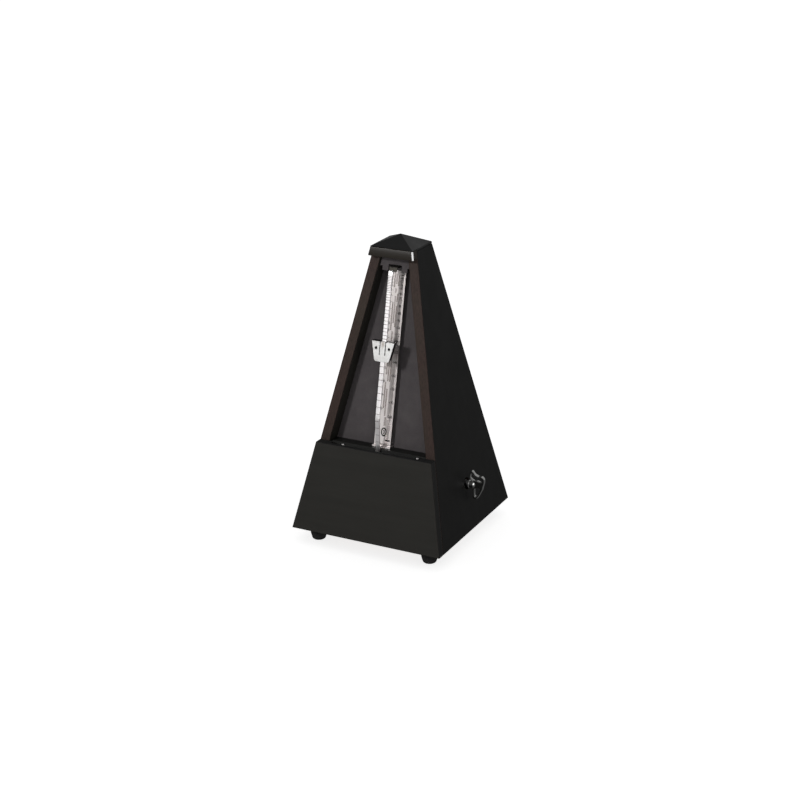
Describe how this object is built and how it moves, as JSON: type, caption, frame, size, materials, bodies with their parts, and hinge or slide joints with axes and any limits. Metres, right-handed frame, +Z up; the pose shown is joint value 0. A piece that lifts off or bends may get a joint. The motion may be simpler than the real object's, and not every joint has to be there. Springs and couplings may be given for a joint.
{
  "type": "metronome",
  "caption": "Wind-up pyramid metronome, shown open: tapered black case with a swinging notched rod, a sliding weight, a tempo scale, a side winding key and clockwork inside.",
  "frame": {"origin": "on the surface it stands on, at the centre of the whole object's plan box, key included", "axes": "+Z up, -Y towards the open front with the rod and scale, +X towards the winding key"},
  "size_m": [0.1223, 0.1148, 0.2163],
  "materials": {
    "lacquered_wood": "black satin lacquer over wood",
    "bare_wood": "dark stained wood",
    "dial_paint": "flat charcoal paint on thin board",
    "scale_metal": "satin silver sheet with printed markings",
    "steel": "bright plated steel",
    "chrome": "polished plating",
    "brass": "plain machined brass",
    "rubber": "black moulded rubber"
  },
  "bodies": {
    "case": {"left_panel": "lacquered_wood", "right_panel": "lacquered_wood", "back_panel": "lacquered_wood", "front_board": "lacquered_wood", "roof_cap": "lacquered_wood", "top_fascia": "lacquered_wood", "ledge_shelf": "lacquered_wood", "base_board": "bare_wood", "dial_panel": "dial_paint", "top_crossbar": "dial_paint", "scale_plate": "scale_metal", "cover_clip_left": "steel", "cover_clip_right": "steel", "rod_catch": "steel", "foot_screw_front_left": "steel", "foot_screw_front_right": "steel", "foot_screw_back_left": "steel", "foot_screw_back_right": "steel", "mounting_screw_left": "steel", "mounting_screw_right": "steel", "click_screw": "steel", "click_spring": "steel", "movement_plate_left": "brass", "movement_plate_right": "brass", "pillar_front_lower": "brass", "pillar_front_upper": "brass", "pillar_rear_lower": "brass", "pillar_rear_upper": "brass", "verge_cock_front": "brass", "verge_cock_rear": "brass", "escape_bridge": "brass", "mounting_foot_left": "brass", "mounting_foot_right": "brass", "foot_front_left": "rubber", "foot_front_right": "rubber", "foot_back_left": "rubber", "foot_back_right": "rubber"},
    "pendulum": {"pendulum_rod": "steel", "pendulum_hub": "brass", "pendulum_bob": "brass", "verge_staff": "steel"},
    "weight": {"weight_body": "steel", "weight_face": "scale_metal"},
    "winder": {"winding_key": "chrome", "winding_arbor": "steel", "ratchet_wheel": "steel"},
    "barrel": {"mainspring_barrel": "brass", "barrel_cap": "brass", "mainspring": "steel"},
    "centre": {"centre_pinion": "steel", "centre_wheel": "brass"},
    "escape": {"escape_pinion": "steel", "escape_wheel": "brass"},
    "click": {"click": "steel"}
  },
  "joints": [
    {"name": "pendulum_swing", "type": "hinge", "parent": "case", "child": "pendulum", "pos_m": [-0.00369, -0.03624, 0.0605], "axis": [0, 1, 0], "range_deg": [-25, 25]},
    {"name": "weight_slide", "type": "slide", "parent": "pendulum", "child": "weight", "axis": [0, 0.2113, 0.9774], "range_m": [-0.0516, 0.0443]},
    {"name": "key_wind", "type": "hinge", "parent": "case", "child": "winder", "pos_m": [-0.00369, 0, 0.0427], "axis": [1, 0, 0], "continuous": true},
    {"name": "click_lift", "type": "hinge", "parent": "case", "child": "click", "pos_m": [0.02341, 0.013, 0.0505], "axis": [1, 0, 0], "range_deg": [0, 6], "stiffness_Nm_per_rad": 0.01, "springref_deg": -5.73},
    {"name": "barrel_turn", "type": "hinge", "parent": "case", "child": "barrel", "pos_m": [-0.00369, 0, 0.0427], "axis": [1, 0, 0], "continuous": true},
    {"name": "centre_turn", "type": "hinge", "parent": "case", "child": "centre", "pos_m": [-0.00369, -0.00559, 0.06727], "axis": [1, 0, 0], "continuous": true},
    {"name": "escape_turn", "type": "hinge", "parent": "case", "child": "escape", "pos_m": [-0.00369, -0.0155, 0.0605], "axis": [1, 0, 0], "continuous": true}
  ],
  "couplings": [
    {"joint": "centre_turn", "follows": "barrel_turn", "ratio": -5},
    {"joint": "escape_turn", "follows": "barrel_turn", "ratio": 15}
  ]
}
